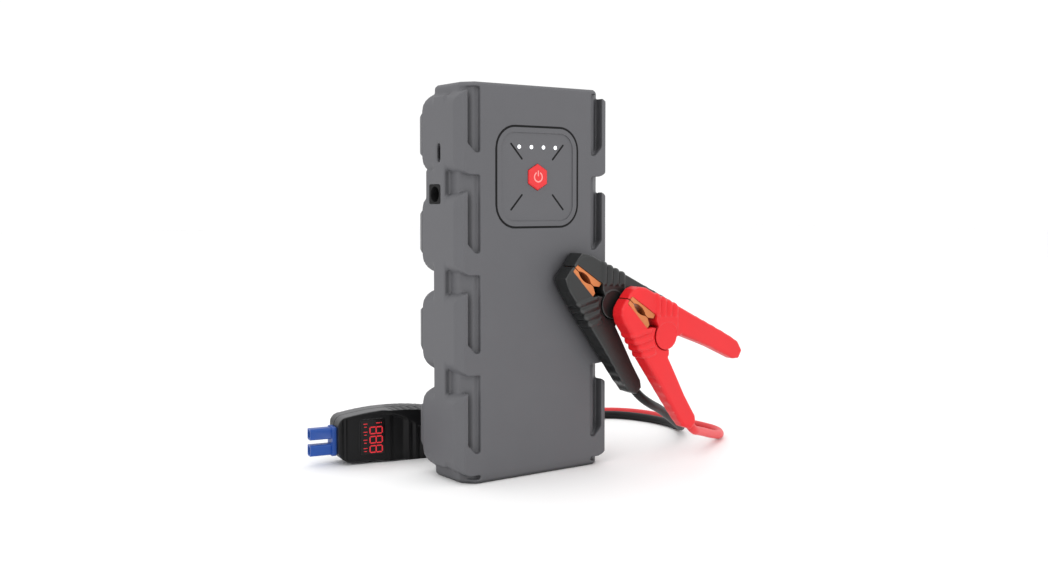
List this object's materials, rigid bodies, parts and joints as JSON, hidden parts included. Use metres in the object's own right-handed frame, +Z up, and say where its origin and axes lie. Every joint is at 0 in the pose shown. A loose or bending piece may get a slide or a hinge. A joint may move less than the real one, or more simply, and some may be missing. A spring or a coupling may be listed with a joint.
{
  "type": "jump starter pack",
  "caption": "Upright battery pack with rugged bumpers, control inset and ports, and a lead set with a display box and two spring clamps.",
  "frame": {"origin": "middle of the pack's base, on the surface it stands on; the lead set lies and leans beside it", "axes": "+X across the pack to its jump socket side, +Y from the control panel to the rear cover, +Z up"},
  "size_m": [0.2693, 0.1555, 0.222],
  "materials": {
    "casing": "fine satin texture",
    "screws": "blackened",
    "control_inset": "satin",
    "button_red": "satin gloss",
    "symbol_light": "translucent",
    "led_white": "translucent",
    "led_chip": "gloss",
    "circuit_board": "solder mask",
    "switch_body": "plain",
    "switch_plunger": "plain",
    "cell_wrap": "foil pouch",
    "inner_plastic": "plain",
    "nickel": "nickel strip",
    "foam": "closed-cell foam",
    "capacitor_can": "sleeved can",
    "chip_black": "moulded",
    "ferrite": "ferrite",
    "port_shell": "drawn steel",
    "jack_black": "moulded",
    "contact_metal": "plated",
    "socket_blue": "satin",
    "flap_rubber": "matte",
    "pin_steel": "plain",
    "wire_red": "silicone",
    "wire_black": "silicone",
    "lead_red": "soft silicone",
    "lead_black": "soft silicone",
    "plug_blue": "satin",
    "box_charcoal": "satin",
    "display_smoke": "smoked, polished",
    "display_red": "with red segments",
    "boot_rubber": "matte",
    "clamp_red": "soft gloss",
    "clamp_black": "soft gloss",
    "jaw_copper": "copper plated",
    "spring_steel": "plain"
  },
  "bodies": {
    "root": {"front_cover": "casing", "rear_cover": "casing", "cover_screws": "screws", "control_panel": "control_inset", "led_lenses": "led_white", "led_chips": "led_chip", "button_board": "circuit_board", "tactile_switch": "switch_body", "battery_cell_1": "cell_wrap", "battery_cell_2": "cell_wrap", "battery_cell_3": "cell_wrap", "battery_cell_4": "cell_wrap", "battery_tray": "inner_plastic", "battery_tabs": "nickel", "foam_pad": "foam", "main_board": "circuit_board", "capacitors": "capacitor_can", "power_transistors": "chip_black", "inductor": "ferrite", "board_screws": "screws", "port_board": "circuit_board", "usb_c_port": "port_shell", "dc_jack": "jack_black", "dc_pin": "contact_metal", "jump_socket": "socket_blue", "jump_contacts": "contact_metal", "jump_cover_pin": "pin_steel", "positive_wire": "wire_red", "negative_wire": "wire_black", "red_lead": "lead_red", "black_lead": "lead_black", "plug_housing": "plug_blue", "plug_contacts": "contact_metal", "box_front_shell": "box_charcoal", "box_rear_shell": "box_charcoal", "display_window": "display_smoke", "display_module": "display_red", "control_board": "circuit_board", "control_relays": "chip_black", "box_screws": "screws", "lead_boot": "boot_rubber", "red_lead_arm": "clamp_red", "red_lead_jaw": "jaw_copper", "red_pivot_pin": "pin_steel", "red_spring": "spring_steel", "black_lead_arm": "clamp_black", "black_lead_jaw": "jaw_copper", "black_pivot_pin": "pin_steel", "black_spring": "spring_steel"},
    "button": {"power_button": "button_red", "power_symbol": "symbol_light", "switch_plunger": "switch_plunger"},
    "port_flap": {"jump_port_cover": "flap_rubber"},
    "red_free_side": {"red_free_arm": "clamp_red", "red_free_jaw": "jaw_copper"},
    "black_free_side": {"black_free_arm": "clamp_black", "black_free_jaw": "jaw_copper"}
  },
  "joints": [
    {"name": "power_button_press", "type": "slide", "parent": "root", "child": "button", "axis": [0, 1, 0], "range_m": [0, 0.0007], "stiffness_N_per_m": 600, "springref_m": -0.0003},
    {"name": "jump_cover_hinge", "type": "hinge", "parent": "root", "child": "port_flap", "pos_m": [0.0507, 0.0107, 0.19], "axis": [0, 0, 1], "range_deg": [0, 100]},
    {"name": "red_clamp_open", "type": "hinge", "parent": "root", "child": "red_free_side", "pos_m": [0.0733, -0.0454, 0.0774], "axis": [0, 1, 0], "range_deg": [0, 28], "stiffness_Nm_per_rad": 1.2, "springref_deg": -20.05},
    {"name": "black_clamp_open", "type": "hinge", "parent": "root", "child": "black_free_side", "pos_m": [0.0441, -0.0312, 0.0962], "axis": [0, 1, 0], "range_deg": [0, 28], "stiffness_Nm_per_rad": 1.2, "springref_deg": -20.05}
  ]
}
